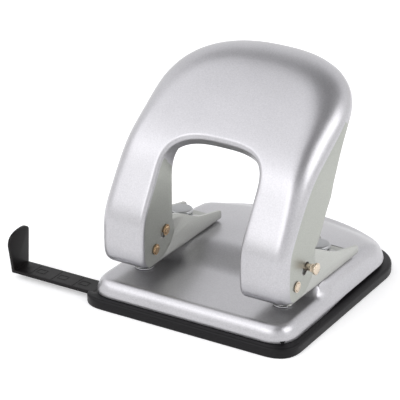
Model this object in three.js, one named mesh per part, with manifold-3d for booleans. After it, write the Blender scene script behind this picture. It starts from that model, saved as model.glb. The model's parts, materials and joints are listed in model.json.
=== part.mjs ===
import * as THREE from 'three';
import Module from 'manifold-3d';
import { mergeVertices } from 'three/addons/utils/BufferGeometryUtils.js';

// A two-hole desk punch, in millimetres, +Z up. X runs along the row of holes, -Y is the front, where the
// paper goes in. The origin lies on the desk, midway between the holes and below the base.

// Driving dimensions
const holePitch = 80;
const punchDiameter = 6;
const punchY = -25;
const backMargin = 12;
const runningGap = 0.3;
const cutOverrun = 2;

// Base plate: a pressed steel lid with a low front table for the paper and a raised rear deck
const plateSideMargin = 17;
const plateDrawIn = 2;
const plateFrontHalf = holePitch / 2 + plateSideMargin;
const plateRearHalf = plateFrontHalf - plateDrawIn;
const plateFrontY = -51.4;
const plateRearY = 79.2;
const plateRearSag = 19;
const plateFrontCorner = 14;
const plateRearCorner = 13;
const plateSheet = 1.2;
const plateBottomZ = 5.6;
const tableZ = 13.6;
const tableEdgeRound = 5.5;
const deckZ = 19.5;
const deckSideInset = 0.8;
const deckSideRound = 6.5;
const deckRearRound = 14;
const deckFrontRound = 2.5;
const deckRootZ = 7;
const deckFall = 8;
const deckFallY = 26;

// Chip tray: the black moulded bottom that the plate snaps on
const trayOverhang = 3.7;
const trayFloor = 1.5;
const trayEdgeRound = 1.4;
const traySnapHeight = 1.5;
const traySnapWall = 1.2;

// Sliding paper gauge
const gaugeWidth = 12.7;
const gaugeThickness = 1.6;
const gaugeInset = 3.2;
const gaugeFrontY = plateFrontY + gaugeInset;
const gaugeReach = 48.5;
const gaugeTipX = -plateFrontHalf - gaugeReach;
const gaugeLength = 110;
const gaugeStopHeight = 21;
const gaugeStopFlare = 3;
const gaugeStopRearFlare = 1;
const gaugeRibHeight = 1.2;
const gaugeRailWall = 1.4;
const gaugeRailReach = 46;
const gaugeClipWidth = 9;
const gaugeClipSheet = 0.6;
const gaugeClipX = -30;

// Punch frame: a channel with its web at the bottom and two cheeks
const frameOuterHalf = 11.3;
const frameSheet = 1.5;
const frameFrontY = -38.6;
const frameTailY = 31.5;
const frameTopZ = 42.7;
const frameTailTopZ = 25.6;
const frameNoseRound = 6.2;
const frameShoulderY = -15;
const frameShoulderDrop = 1.3;
const frameSaddleY = 12;
const frameSaddleZ = 29.5;
const frameTailRound = 2.5;

// Handle: an arch of pressed sheet with flanges turned back all round
const handleSheet = 1.2;
const handleFaceY = -46.5;
const handleFootZ = 22.8;
const chinRadius = 9;
const chinDegrees = 52;
const shankLength = 12;
const shankBendRadius = 22;
const leanDegrees = 57;
const leanLength = 25;
const palmBendRadius = 55;
const palmDegrees = 31;
const palmLength = 63;
const windowTopReach = 75.5;
const windowRound = 22;
const handleShoulder = 46;
const outerFootFillet = 6;
const outerTopFillet = 11;
const innerFillet = 2.6;
const outerFlange = 28;
const topFlange = 13;
const innerFlange = 8.5;
const innerFlangeRearY = -19;
const footFlange = 31;
const footLobeY = -32;
const footLobeRearY = -16.5;
const footLobeTopZ = 44;

// Pivot and drive pin
const pivotY = -34.4;
const pivotZ = 30.1;
const pivotDiameter = 3.2;
const rivetHeadDiameter = 4.6;
const rivetHeadHeight = 0.9;
const drivePinDiameter = 3.6;
const drivePinZ = 37.1;
const pinHeadDiameter = 5.4;
const pinHeadHeight = 0.8;
const lockPinProud = 6.2;
const lockKnobDiameter = 5.8;
const lockKnobLength = 1.7;
const slotPlay = 0.45;
const punchTravel = 7.6;

// Punch, die, guide bush and spring
const punchHeadRise = 4;
const punchNotchDepth = 1.4;
const washerDiameter = 9.6;
const washerSheet = 0.8;
const paperGap = 4.2;
const dieRim = 2;
const dieRimHeight = 0.5;
const dieDepth = 5;
const dieClearance = 0.15;
const bushWall = 1.5;
const bushFlange = 1;
const bushFlangeHeight = 1;
const guideClearance = 0.1;
const springWire = 0.6;
const springTurns = 3.5;
const springRadius = 4.1;

// Bumper in each frame, and the rivets that hold the frame down
const bumperDiameter = 12;
const bumperTopZ = 32;
const bumperY = 10.5;
const bumperEdge = 1;
const frameRivetDiameter = 5;
const frameRivetHeadDiameter = 8;
const frameRivetHeadHeight = 1.1;
const frameRivetFrontY = -3;
const frameRivetRearY = 22;

// Facet counts
const roundSteps = 20;
const cornerSteps = 5;
const arcSteps = 7;
const sideSteps = 3;
const ringSteps = 5;
const mergeReach = 1e-5;

const wasm = await Module();
wasm.setup();

// A closed geometry as a solid for joining and cutting
function solidOf(geometry) {
  const bare = geometry.clone();
  bare.deleteAttribute('normal');
  bare.deleteAttribute('uv');
  const merged = mergeVertices(bare, mergeReach);
  return new wasm.Manifold(new wasm.Mesh({
    numProp: 3,
    vertProperties: Float32Array.from(merged.attributes.position.array),
    triVerts: Uint32Array.from(merged.index.array),
  }));
}

function geometryOf(solid) {
  const mesh = solid.getMesh();
  const geometry = new THREE.BufferGeometry();
  geometry.setAttribute('position', new THREE.BufferAttribute(Float32Array.from(mesh.vertProperties), 3));
  geometry.setIndex(Array.from(mesh.triVerts));
  geometry.computeVertexNormals();
  return geometry;
}

function cut(body, ...tools) {
  return geometryOf(tools.reduce((rest, tool) => rest.subtract(solidOf(tool)), solidOf(body)));
}

function join(...parts) {
  return geometryOf(parts.slice(1).reduce((whole, part) => whole.add(solidOf(part)), solidOf(parts[0])));
}

function block(lowX, highX, lowY, highY, lowZ, highZ) {
  const box = new THREE.BoxGeometry(highX - lowX, highY - lowY, highZ - lowZ);
  return box.translate((lowX + highX) / 2, (lowY + highY) / 2, (lowZ + highZ) / 2);
}

// A round bar along Z, between two heights
function post(diameter, lowZ, highZ, x = 0, y = 0) {
  const bar = new THREE.CylinderGeometry(diameter / 2, diameter / 2, highZ - lowZ, roundSteps);
  return bar.rotateX(Math.PI / 2).translate(x, y, (lowZ + highZ) / 2);
}

// A round bar along X, between two places
function crossBar(diameter, lowX, highX, y, z) {
  const bar = new THREE.CylinderGeometry(diameter / 2, diameter / 2, highX - lowX, roundSteps);
  return bar.rotateZ(Math.PI / 2).translate((lowX + highX) / 2, y, z);
}

// A shape drawn in Y and Z, extruded along X
function sidePlate(shape, lowX, highX) {
  const plate = new THREE.ExtrudeGeometry(shape, {
    depth: highX - lowX, bevelEnabled: false, curveSegments: arcSteps,
  });
  const turn = new THREE.Matrix4().set(0, 0, 1, 0, 1, 0, 0, 0, 0, 1, 0, 0, 0, 0, 0, 1);
  return plate.applyMatrix4(turn).translate(lowX, 0, 0);
}

// A turned piece about Z: its profile is a list of [radius, z] that starts and ends on the axis
function turned(profile, steps = roundSteps) {
  const points = profile.map(([radius, z]) => new THREE.Vector2(radius, z));
  return new THREE.LatheGeometry(points, steps).rotateX(Math.PI / 2);
}

// A closed skin through rings of equally many points, with the two end rings closed by the given triangles
function skin(rings, capTriangles) {
  const count = rings[0].length;
  const vertices = rings.flat();
  const index = [];
  for (let ring = 0; ring + 1 < rings.length; ring += 1) {
    for (let i = 0; i < count; i += 1) {
      const next = (i + 1) % count;
      const a = ring * count + i;
      const b = ring * count + next;
      index.push(a, b, b + count, a, b + count, a + count);
    }
  }
  const last = (rings.length - 1) * count;
  for (const [a, b, c] of capTriangles) {
    index.push(a, c, b, last + a, last + b, last + c);
  }
  const geometry = new THREE.BufferGeometry();
  geometry.setAttribute('position', new THREE.Float32BufferAttribute(
    vertices.flatMap((point) => [point.x, point.y, point.z]), 3));
  geometry.setIndex(volumeOf(vertices, index) < 0 ? index.reverse() : index);
  geometry.computeVertexNormals();
  return geometry;
}

// Six times the volume that the triangles enclose: it is negative where they face inward
function volumeOf(vertices, index) {
  let total = 0;
  for (let i = 0; i < index.length; i += 3) {
    const [a, b, c] = [vertices[index[i]], vertices[index[i + 1]], vertices[index[i + 2]]];
    total += a.dot(b.clone().cross(c));
  }
  return total;
}

// Triangles across an outline whose first half mirrors its second half, with one point in the middle
function ladderCap(count) {
  const middle = (count - 1) / 2;
  const triangles = [[middle - 1, middle, middle + 1]];
  for (let i = 0; i + 1 < middle; i += 1) {
    const mirrored = count - 1 - i;
    triangles.push([i, i + 1, mirrored - 1], [i, mirrored - 1, mirrored]);
  }
  return triangles;
}

// Points on a quadratic curve that rounds the corner between two points
function cornerPoints(from, corner, to, steps) {
  return new THREE.QuadraticBezierCurve(from, corner, to).getPoints(steps);
}

// The plate's outline, moved inward by inset: straight front, sides that draw in, and an arched rear. Given a
// place startY it is only the part behind that line.
const rearRadius = (plateRearHalf ** 2 + plateRearSag ** 2) / (2 * plateRearSag);
const rearCentreY = plateRearY - rearRadius;

function plateOutline(inset, rearInset = inset, startY = plateFrontY) {
  const radius = rearRadius - rearInset;
  const frontX = plateFrontHalf - inset;
  const rearX = plateRearHalf - inset;
  const frontY = plateFrontY + inset;
  const rearY = rearCentreY + Math.sqrt(radius ** 2 - rearX ** 2);
  const shrink = Math.max(0, inset) / 2;
  const frontRound = plateFrontCorner - shrink;
  const rearRound = plateRearCorner - shrink;
  const frontCorner = new THREE.Vector2(frontX, frontY);
  const rearCorner = new THREE.Vector2(rearX, rearY);
  const along = rearCorner.clone().sub(frontCorner).normalize();
  const cornerAngle = Math.atan2(rearY - rearCentreY, rearX);
  const roundAngle = cornerAngle + rearRound / radius;
  const onRear = (angle) => new THREE.Vector2(Math.cos(angle), Math.sin(angle)).multiplyScalar(radius)
    .add(new THREE.Vector2(0, rearCentreY));
  const right = startY > plateFrontY
    ? [frontCorner.clone().addScaledVector(along, (startY - frontY) / along.y)]
    : cornerPoints(new THREE.Vector2(frontX - frontRound, frontY), frontCorner,
      frontCorner.clone().addScaledVector(along, frontRound), cornerSteps);
  const sideStart = right[right.length - 1];
  const sideEnd = rearCorner.clone().addScaledVector(along, -rearRound);
  for (let i = 1; i < sideSteps; i += 1) right.push(sideStart.clone().lerp(sideEnd, i / sideSteps));
  right.push(...cornerPoints(sideEnd, rearCorner, onRear(roundAngle), cornerSteps));
  for (let i = 1; i <= sideSteps; i += 1) {
    right.push(onRear(roundAngle + (Math.PI / 2 - roundAngle) * (i / (sideSteps + 1))));
  }
  const left = right.map((point) => new THREE.Vector2(-point.x, point.y)).reverse();
  return [...right, new THREE.Vector2(0, rearCentreY + radius), ...left];
}

function ringAt(outline, z) {
  return outline.map((point) => new THREE.Vector3(point.x, point.y, z));
}

// The solid under the low table: its edge rolls over from the rim to the table
function tableSolid(inset, drop, bottomZ) {
  const rings = bottomZ < plateBottomZ ? [ringAt(plateOutline(inset), bottomZ)] : [];
  const rise = tableZ - drop - plateBottomZ;
  for (let i = 0; i <= ringSteps; i += 1) {
    const turn = (Math.PI / 2) * (i / ringSteps);
    const roll = (tableEdgeRound - inset) * (1 - Math.cos(turn));
    rings.push(ringAt(plateOutline(inset + roll), plateBottomZ + rise * Math.sin(turn)));
  }
  return skin(rings, ladderCap(rings[0].length));
}

// The raised deck behind the paper stop: steep at the front, well rounded at the sides and rear
const stopY = punchY + backMargin;

function deckOutline(sideInset, rearInset, frontInset) {
  return plateOutline(deckSideInset + sideInset, deckSideInset + rearInset, stopY + frontInset);
}

function deckTop(y) {
  const share = Math.max(0, (y - deckFallY) / (plateRearY - deckFallY));
  return deckZ - deckFall * share ** 2;
}

function deckSolid(inset, drop) {
  const outer = deckOutline(inset, inset, inset);
  const inner = deckOutline(inset + deckSideRound, inset + deckRearRound, inset + deckFrontRound);
  const rings = [];
  for (let i = 0; i <= ringSteps; i += 1) {
    const turn = (Math.PI / 2) * (i / ringSteps);
    rings.push(outer.map((point, k) => {
      const { x, y } = point.clone().lerp(inner[k], 1 - Math.cos(turn));
      return new THREE.Vector3(x, y, deckRootZ + (deckTop(y) - drop - deckRootZ) * Math.sin(turn));
    }));
  }
  return skin(rings, ladderCap(outer.length));
}

const degrees = Math.PI / 180;
const frameBottomZ = deckZ + runningGap;
const webTopZ = frameBottomZ + frameSheet;
const frameInnerHalf = frameOuterHalf - frameSheet;
const dieTopZ = tableZ + runningGap + dieRimHeight;
const bushBottomZ = dieTopZ + paperGap;
const dieHoleDiameter = punchDiameter + 2 * dieClearance;
const dieOuterDiameter = dieHoleDiameter + 2 * dieRim;
const dieBodyDiameter = dieOuterDiameter - dieRim;
const bushBoreDiameter = punchDiameter + 2 * guideClearance;
const bushDiameter = bushBoreDiameter + 2 * bushWall;
const rivetHoleDiameter = frameRivetDiameter + 2 * runningGap;

function basePlate() {
  const outside = join(tableSolid(0, 0, plateBottomZ), deckSolid(0, 0));
  const underTable = tableSolid(plateSheet, plateSheet, plateBottomZ - cutOverrun);
  const underDeck = deckSolid(plateSheet, plateSheet);
  const holes = [-1, 1].flatMap((side) => {
    const x = side * holePitch / 2;
    return [
      post(dieBodyDiameter + 2 * runningGap, plateBottomZ, deckZ, x, punchY),
      ...[frameRivetFrontY, frameRivetRearY].map((y) => post(
        rivetHoleDiameter, plateBottomZ, deckZ + cutOverrun, x, y)),
    ];
  });
  return cut(outside, join(underTable, underDeck), ...holes);
}

// The tray is one closed skin: up the outer wall, over the ledge, down the inner wall, and across the floor
const trayTopZ = plateBottomZ - runningGap;
const gaugeZ = trayFloor + gaugeRibHeight + runningGap;
const gaugeTopZ = gaugeZ + gaugeThickness;
const gaugeRearY = gaugeFrontY + gaugeWidth;
const railTopZ = gaugeTopZ + runningGap;

function chipTray() {
  const snapOut = -plateSheet - runningGap;
  const snapIn = snapOut - traySnapWall;
  const halfRound = trayEdgeRound / 2;
  const profile = [[trayOverhang - halfRound, 0], [trayOverhang, halfRound]];
  for (let i = 0; i <= ringSteps; i += 1) {
    const turn = (Math.PI / 2) * (i / ringSteps);
    profile.push([
      trayOverhang - trayEdgeRound * (1 - Math.cos(turn)),
      trayTopZ - trayEdgeRound * (1 - Math.sin(turn)),
    ]);
  }
  profile.push([snapOut, trayTopZ], [snapOut, trayTopZ + traySnapHeight]);
  profile.push([snapIn, trayTopZ + traySnapHeight], [snapIn, trayFloor]);
  const shell = skin(profile.map(([out, z]) => ringAt(plateOutline(-out), z)), ladderCap(plateOutline(0).length));
  const mouth = block(-plateFrontHalf - trayOverhang - cutOverrun, -gaugeRailReach,
    gaugeFrontY - runningGap, gaugeRearY + runningGap,
    gaugeZ - runningGap, trayTopZ + traySnapHeight + cutOverrun);
  const railFronts = [gaugeFrontY - runningGap - gaugeRailWall, gaugeRearY + runningGap];
  const rails = railFronts.map((y) => block(
    -gaugeRailReach, gaugeRailReach, y, y + gaugeRailWall, trayFloor / 2, railTopZ));
  const ribFronts = [gaugeFrontY + gaugeRailWall, gaugeRearY - 2 * gaugeRailWall];
  const ribs = ribFronts.map((y) => block(
    -gaugeRailReach, gaugeRailReach, y, y + gaugeRailWall, trayFloor / 2, trayFloor + gaugeRibHeight));
  return join(cut(shell, mouth), ...rails, ...ribs);
}

// The gauge is a flat bar with an upturned thumb stop, rounded over at the top and wider towards the front
function paperGauge() {
  const bar = block(gaugeTipX, gaugeTipX + gaugeLength, gaugeFrontY, gaugeRearY, gaugeZ, gaugeTopZ);
  const topZ = gaugeTopZ + gaugeStopHeight;
  const shoulderShare = 0.62;
  const crownShare = 0.62;
  const rearShoulderShare = 0.84;
  const shoulderZ = gaugeTopZ + gaugeStopHeight * shoulderShare;
  const rearShoulderZ = gaugeTopZ + gaugeStopHeight * rearShoulderShare;
  const flareFrontY = gaugeFrontY - gaugeStopFlare;
  const flareRearY = gaugeRearY + gaugeStopRearFlare;
  const crownY = flareFrontY + (flareRearY - flareFrontY) * crownShare;
  const shape = new THREE.Shape();
  shape.moveTo(gaugeFrontY, gaugeZ);
  shape.lineTo(gaugeRearY, gaugeZ);
  shape.lineTo(gaugeRearY, gaugeTopZ);
  shape.lineTo(flareRearY, rearShoulderZ);
  shape.quadraticCurveTo(flareRearY, topZ, crownY, topZ);
  shape.quadraticCurveTo(flareFrontY, topZ, flareFrontY, shoulderZ);
  return join(bar, sidePlate(shape, gaugeTipX, gaugeTipX + gaugeThickness));
}

function gaugeClip() {
  return block(
    gaugeClipX, gaugeClipX + gaugeClipWidth, gaugeFrontY, gaugeRearY + runningGap + gaugeRailWall,
    railTopZ + runningGap, railTopZ + runningGap + gaugeClipSheet);
}

// Punch frame: an extruded channel trimmed to its side outline, then pierced
const pivotPlay = 0.15;
const slotWidth = drivePinDiameter + 2 * runningGap;

function slotShape(fromY, fromZ, toY, toZ, width) {
  const along = new THREE.Vector2(toY - fromY, toZ - fromZ).normalize();
  const angle = Math.atan2(along.y, along.x);
  const shape = new THREE.Shape();
  shape.absarc(toY, toZ, width / 2, angle - Math.PI / 2, angle + Math.PI / 2, false);
  shape.absarc(fromY, fromZ, width / 2, angle + Math.PI / 2, angle + Math.PI * 3 / 2, false);
  return shape;
}

const noseTopShares = [-1, 2];

function frameSideShape() {
  const noseTop = new THREE.Vector2(pivotY, pivotZ).add(
    new THREE.Vector2(...noseTopShares).normalize().multiplyScalar(frameNoseRound));
  const crestY = punchY - drivePinDiameter / 2;
  const reach = (frameSaddleY - frameShoulderY) / 4;
  const lift = (frameTopZ - frameSaddleZ) / 8;
  const shape = new THREE.Shape();
  shape.moveTo(frameFrontY + frameSheet, frameBottomZ);
  shape.lineTo(frameTailY - frameTailRound, frameBottomZ);
  shape.quadraticCurveTo(frameTailY, frameBottomZ, frameTailY, (frameBottomZ + frameTailTopZ) / 2);
  shape.quadraticCurveTo(frameTailY, frameTailTopZ, frameTailY - frameTailRound, frameTailTopZ);
  shape.lineTo(frameSaddleY, frameSaddleZ);
  shape.bezierCurveTo(
    frameSaddleY - reach, frameSaddleZ + lift, frameShoulderY + reach, frameTopZ - frameShoulderDrop - lift,
    frameShoulderY, frameTopZ - frameShoulderDrop);
  shape.lineTo(crestY, frameTopZ);
  shape.lineTo(noseTop.x, noseTop.y);
  shape.quadraticCurveTo(frameFrontY, noseTop.y - frameSheet, frameFrontY, pivotZ);
  shape.lineTo(frameFrontY, frameBottomZ + frameSheet);
  return shape;
}

function frameChannel() {
  const bend = frameSheet + runningGap;
  const section = new THREE.Shape();
  section.moveTo(-frameOuterHalf + bend, frameBottomZ);
  section.lineTo(frameOuterHalf - bend, frameBottomZ);
  section.absarc(frameOuterHalf - bend, frameBottomZ + bend, bend, -Math.PI / 2, 0, false);
  section.lineTo(frameOuterHalf, frameTopZ + cutOverrun);
  section.lineTo(frameInnerHalf, frameTopZ + cutOverrun);
  section.lineTo(frameInnerHalf, webTopZ);
  section.lineTo(-frameInnerHalf, webTopZ);
  section.lineTo(-frameInnerHalf, frameTopZ + cutOverrun);
  section.lineTo(-frameOuterHalf, frameTopZ + cutOverrun);
  section.absarc(-frameOuterHalf + bend, frameBottomZ + bend, bend, Math.PI, Math.PI * 3 / 2, false);
  const length = frameTailY - frameFrontY + 2 * cutOverrun;
  const channel = new THREE.ExtrudeGeometry(section, {
    depth: length, bevelEnabled: false, curveSegments: cornerSteps,
  });
  return channel.rotateX(Math.PI / 2).translate(0, frameTailY + cutOverrun, 0);
}

const drivePinLowZ = drivePinZ - punchTravel;

function punchFrame() {
  const trim = sidePlate(frameSideShape(), -frameOuterHalf - cutOverrun, frameOuterHalf + cutOverrun);
  const body = geometryOf(solidOf(frameChannel()).intersect(solidOf(trim)));
  const reach = frameOuterHalf + cutOverrun;
  const slot = slotShape(punchY, drivePinLowZ, punchY, drivePinZ, slotWidth);
  return cut(body,
    crossBar(pivotDiameter + 2 * pivotPlay, -reach, reach, pivotY, pivotZ),
    sidePlate(slot, -reach, reach),
    post(bushDiameter + 2 * runningGap, frameBottomZ - cutOverrun, webTopZ + cutOverrun, 0, punchY),
    ...[frameRivetFrontY, frameRivetRearY].map((y) => post(
      rivetHoleDiameter, frameBottomZ - cutOverrun, webTopZ + cutOverrun, 0, y)));
}

// Handle: its face follows a path of arcs and straights, drawn as lengths and turns
const handlePath = [
  [chinRadius * chinDegrees * degrees, chinDegrees],
  [shankLength, 0],
  [shankBendRadius * (90 - leanDegrees) * degrees, 90 - leanDegrees],
  [leanLength, 0],
  [palmBendRadius * (leanDegrees - palmDegrees) * degrees, leanDegrees - palmDegrees],
  [palmLength, 0],
];
const handleReach = handlePath.reduce((sum, [length]) => sum + length, 0);

const inwardStart = handlePath[0][0];
const inwardEnd = handleReach - palmLength;

// The flanges lean back more slowly than the face bends, so that their depth never crosses itself
function inwardAngle(reach) {
  const share = THREE.MathUtils.clamp((reach - inwardStart) / (inwardEnd - inwardStart), 0, 1);
  return -(90 - palmDegrees) * degrees * share;
}

// The place on the face at a distance along the path
function facePoint(reach) {
  let angle = 90 + chinDegrees;
  let y = handleFaceY + chinRadius * (1 - Math.cos(chinDegrees * degrees));
  let z = handleFootZ;
  let left = Math.min(reach, handleReach);
  for (const [length, turn] of handlePath) {
    const part = Math.min(left, length);
    const turned = turn * (part / length);
    const middle = (angle - turned / 2) * degrees;
    const half = (turned / 2) * degrees;
    const chord = half ? part * Math.sin(half) / half : part;
    y += chord * Math.cos(middle);
    z += chord * Math.sin(middle);
    angle -= turned;
    left -= part;
  }
  return { y, z };
}

// A point at x, at a reach along the face and a depth behind it
function handlePoint(x, reach, depth) {
  const { y, z } = facePoint(reach);
  const inward = inwardAngle(reach);
  return new THREE.Vector3(x, y + depth * Math.cos(inward), z + depth * Math.sin(inward));
}

const handleHalf = frameOuterHalf + runningGap + handleSheet;
const armOuterX = holePitch / 2 + handleHalf;
const armInnerX = holePitch / 2 - handleHalf;
const armSteps = 10;
const archSteps = 12;
const filletSteps = 5;
const faceSteps = 6;
const straightShare = 0.3;
const windowPower = 0.68;
const crownPower = 0.86;
const flangeSpreadShares = [0.2, 0.5];
const edgeProbe = 0.5;
const smallestCrossing = 0.4;

// Inner and outer edges of the arch at one station of its left half, from the foot to the crown
function archEdges(station) {
  const windowStart = windowTopReach - windowRound;
  const shoulderStart = handleReach - handleShoulder;
  if (station <= armSteps) {
    const reach = windowStart * Math.max(0, station) / armSteps;
    return [new THREE.Vector2(-armInnerX, reach), new THREE.Vector2(-armOuterX, reach)];
  }
  const share = Math.min(1, (station - armSteps) / archSteps);
  const rimShare = (share - straightShare) / (1 - straightShare);
  const inner = roundedCorner(armInnerX, windowStart, windowRound, share, windowPower);
  const outer = rimShare <= 0
    ? new THREE.Vector2(-armOuterX, THREE.MathUtils.lerp(windowStart, shoulderStart, share / straightShare))
    : roundedCorner(armOuterX, shoulderStart, handleShoulder, rimShare, crownPower);
  return [inner, outer];
}

function roundedCorner(halfX, startReach, rise, share, power) {
  const turn = (Math.PI / 2) * share;
  return new THREE.Vector2(
    -halfX * Math.cos(turn) ** power, startReach + rise * Math.sin(turn) ** power);
}

// How much a slanted section stretches where it crosses each edge
function edgeStretch(station, edge, across) {
  const before = archEdges(station - edgeProbe)[edge];
  const after = archEdges(station + edgeProbe)[edge];
  const along = after.sub(before).normalize();
  return 1 / Math.max(smallestCrossing, Math.abs(along.x * across.y - along.y * across.x));
}

// The pressed section from the inner to the outer edge, as [offset across, depth] points on one closed line
function pressedSection(width, stretches, fillets, depths) {
  const [innerStretch, outerStretch] = stretches;
  const innerMiddle = fillets[0] * innerStretch;
  const outerMiddle = width - fillets[1] * outerStretch;
  const side = (drop) => {
    const points = [];
    const innerRadius = fillets[0] - drop;
    const outerRadius = fillets[1] - drop;
    for (let i = 0; i <= filletSteps; i += 1) {
      const turn = (Math.PI / 2) * (i / filletSteps);
      points.push([
        innerMiddle - innerRadius * innerStretch * Math.cos(turn), fillets[0] - innerRadius * Math.sin(turn)]);
    }
    for (let i = 1; i < faceSteps; i += 1) {
      points.push([THREE.MathUtils.lerp(innerMiddle, outerMiddle, i / faceSteps), drop]);
    }
    for (let i = filletSteps; i >= 0; i -= 1) {
      const turn = (Math.PI / 2) * (i / filletSteps);
      points.push([
        outerMiddle + outerRadius * outerStretch * Math.cos(turn), fillets[1] - outerRadius * Math.sin(turn)]);
    }
    return [[drop * innerStretch, depths[0]], ...points, [width - drop * outerStretch, depths[1]]];
  };
  return [...side(0), ...side(handleSheet).reverse()];
}

function handleRing(station, mirrored) {
  const [inner, outer] = archEdges(station);
  const across = outer.clone().sub(inner);
  const width = across.length();
  across.normalize();
  const stretches = [0, 1].map((edge) => edgeStretch(station, edge, across));
  const rise = Math.min(1, station / armSteps);
  const fillets = [innerFillet, THREE.MathUtils.lerp(outerFootFillet, outerTopFillet, rise)];
  const upright = (innerFlangeRearY - facePoint(inner.y).y) / Math.cos(inwardAngle(inner.y));
  const spread = THREE.MathUtils.smoothstep(rise, ...flangeSpreadShares);
  const depths = [
    Math.max(innerFlange, THREE.MathUtils.lerp(footFlange, upright, spread)),
    THREE.MathUtils.lerp(
      THREE.MathUtils.lerp(footFlange, outerFlange, spread), topFlange,
      THREE.MathUtils.smoothstep(outer.y, windowTopReach - windowRound, handleReach - handleShoulder)),
  ];
  return pressedSection(width, stretches, fillets, depths).map(([offset, depth]) => {
    const place = inner.clone().addScaledVector(across, offset);
    return handlePoint(mirrored ? -place.x : place.x, place.y, depth);
  });
}

function handleShell() {
  const last = armSteps + archSteps;
  const rings = [];
  for (let station = 0; station <= last; station += 1) rings.push(handleRing(station, false));
  for (let station = last - 1; station >= 0; station -= 1) rings.push(handleRing(station, true));
  const half = rings[0].length / 2;
  const cap = [];
  for (let i = 0; i + 1 < half; i += 1) {
    const facing = rings[0].length - 1 - i;
    cap.push([i, i + 1, facing - 1], [i, facing - 1, facing]);
  }
  return skin(rings, cap);
}

// The foot is trimmed to a rounded lobe; slots in both flanges let the punch pin run straight down
function handleArch() {
  const whole = handleShell();
  const below = handleFootZ - cutOverrun;
  const behind = handleFaceY + chinRadius + footFlange;
  const lobe = new THREE.Shape();
  lobe.moveTo(footLobeY, below);
  lobe.lineTo(footLobeY, handleFootZ);
  lobe.bezierCurveTo(
    footLobeY + outerFootFillet, handleFootZ, innerFlangeRearY + innerFillet, pivotZ - handleSheet,
    innerFlangeRearY + innerFillet, drivePinZ);
  lobe.lineTo(footLobeRearY, footLobeTopZ);
  lobe.lineTo(behind, footLobeTopZ);
  lobe.lineTo(behind, below);
  const toPin = new THREE.Vector2(punchY - pivotY, drivePinZ - pivotZ);
  const nearest = toPin.x - slotPlay / 2;
  const farthest = toPin.length() + slotPlay / 2;
  toPin.normalize();
  const slot = slotShape(
    pivotY + toPin.x * nearest, pivotZ + toPin.y * nearest,
    pivotY + toPin.x * farthest, pivotZ + toPin.y * farthest, drivePinDiameter + 2 * slotPlay);
  const reach = armOuterX + cutOverrun;
  return cut(whole,
    sidePlate(lobe, -reach, reach),
    sidePlate(slot, -reach, reach),
    crossBar(pivotDiameter + 2 * pivotPlay, -reach, reach, pivotY, pivotZ));
}

// Each die is a flanged ring, and its rim stands a little proud of the table
function die() {
  const rimZ = tableZ + runningGap;
  const ring = turned([
    [0, dieTopZ - dieDepth], [dieBodyDiameter / 2, dieTopZ - dieDepth], [dieBodyDiameter / 2, rimZ],
    [dieOuterDiameter / 2, rimZ], [dieOuterDiameter / 2 - dieRimHeight / 2, dieTopZ], [0, dieTopZ],
  ]);
  return cut(ring, post(dieHoleDiameter, dieTopZ - dieDepth - cutOverrun, dieTopZ + cutOverrun));
}

const bushFlangeZ = webTopZ + runningGap;
const bushTopZ = bushFlangeZ + bushFlangeHeight;

function guideBush() {
  const wide = bushDiameter / 2 + bushFlange;
  const body = turned([
    [0, bushBottomZ], [bushDiameter / 2, bushBottomZ], [bushDiameter / 2, bushFlangeZ],
    [wide, bushFlangeZ], [wide, bushTopZ], [0, bushTopZ],
  ]);
  return cut(body, post(bushBoreDiameter, bushBottomZ - cutOverrun, bushTopZ + cutOverrun));
}

// The punch has a notched tip and a cross hole for its pin
function punch() {
  const lowZ = bushBottomZ + runningGap;
  const highZ = drivePinZ + punchHeadRise;
  const radius = punchDiameter / 2;
  const notch = new THREE.Shape();
  notch.moveTo(-radius - cutOverrun, lowZ - punchNotchDepth * cutOverrun / radius);
  notch.lineTo(0, lowZ + punchNotchDepth);
  notch.lineTo(radius + cutOverrun, lowZ - punchNotchDepth * cutOverrun / radius);
  const body = post(punchDiameter, lowZ, highZ);
  return cut(body, sidePlate(notch, -punchDiameter, punchDiameter),
    crossBar(drivePinDiameter + 2 * guideClearance, -punchDiameter, punchDiameter, 0, drivePinZ));
}

const washerTopZ = drivePinZ - drivePinDiameter / 2 - runningGap;
const washerBottomZ = washerTopZ - washerSheet;

function punchWasher() {
  return cut(post(washerDiameter, washerBottomZ, washerTopZ),
    post(punchDiameter + 2 * runningGap, washerBottomZ - cutOverrun, washerTopZ + cutOverrun));
}

// One unbroken round wire, wound from the bush flange up to the washer
const curlSteps = 8;
const wireSides = 5;
const springLowZ = bushTopZ + runningGap + springWire / 2;
const springHighZ = washerBottomZ - runningGap - springWire / 2;

function springLine() {
  const points = [];
  const count = Math.round(springTurns * curlSteps);
  for (let i = 0; i <= count; i += 1) {
    const turn = Math.PI * 2 * springTurns * (i / count);
    points.push(new THREE.Vector3(
      springRadius * Math.cos(turn), springRadius * Math.sin(turn),
      THREE.MathUtils.lerp(springLowZ, springHighZ, i / count)));
  }
  return points;
}

function punchSpring() {
  const line = springLine();
  const up = new THREE.Vector3(0, 0, 1);
  const rings = line.map((point) => {
    const out = new THREE.Vector3(point.x, point.y, 0).normalize();
    return Array.from({ length: wireSides }, (_, k) => {
      const turn = Math.PI * 2 * (k / wireSides);
      return point.clone().addScaledVector(out, springWire / 2 * Math.cos(turn))
        .addScaledVector(up, springWire / 2 * Math.sin(turn));
    });
  });
  const fan = Array.from({ length: wireSides - 2 }, (_, k) => [0, k + 1, k + 2]);
  return skin(rings, fan);
}

// The least gap between a curl of the spring and the next one, along the wire's own line
function springLeastGap() {
  const line = springLine();
  let least = Infinity;
  for (let i = 0; i < line.length; i += 1) {
    for (let k = i + curlSteps / 2; k < line.length; k += 1) {
      least = Math.min(least, line[i].distanceTo(line[k]) - springWire);
    }
  }
  return least;
}
console.log(`least gap of the punch springs to themselves: ${springLeastGap().toFixed(2)} mm`);

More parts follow.
